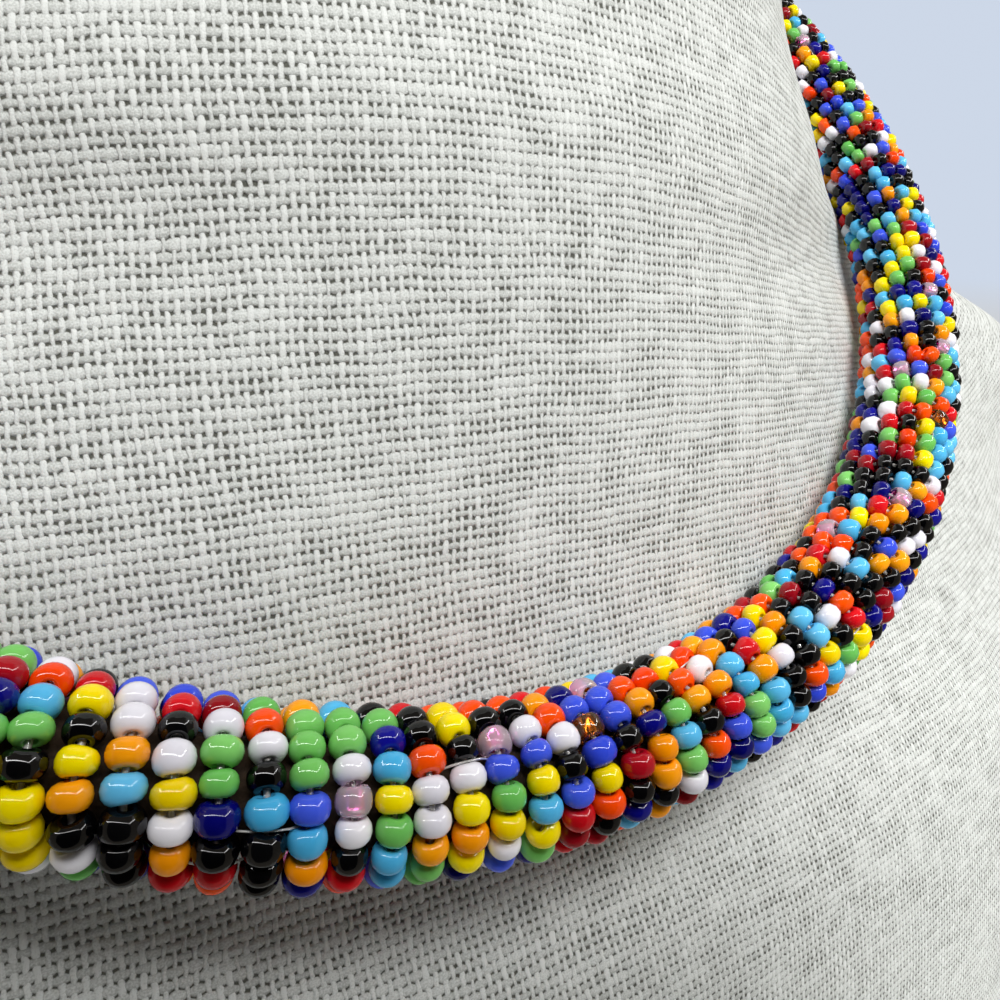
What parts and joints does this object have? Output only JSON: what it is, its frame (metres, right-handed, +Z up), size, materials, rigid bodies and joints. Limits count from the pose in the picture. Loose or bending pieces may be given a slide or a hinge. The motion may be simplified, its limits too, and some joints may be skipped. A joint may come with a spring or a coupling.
{
  "type": "beaded collar necklace on a neck bust",
  "caption": "Rope collar of small many-coloured glass beads wound round a padded cord, with a barrel clasp behind, on a linen-covered neck bust.",
  "frame": {"origin": "centre of the whole's box seen from above, on the surface that the bust stands on", "axes": "+Z up, -Y towards the breast and the necklace's low front, +X to the right seen from the front"},
  "size_m": [0.32, 0.141, 0.238],
  "materials": {
    "linen": "natural plain-weave linen",
    "core_cord": "dark padded cord",
    "glass_beads": "opaque glossy glass in mixed colours",
    "clasp_metal": "satin silver plate"
  },
  "bodies": {
    "root": {"bust": "linen", "rope_core": "core_cord", "bead_winding": "glass_beads", "clasp": "clasp_metal"}
  },
  "joints": []
}
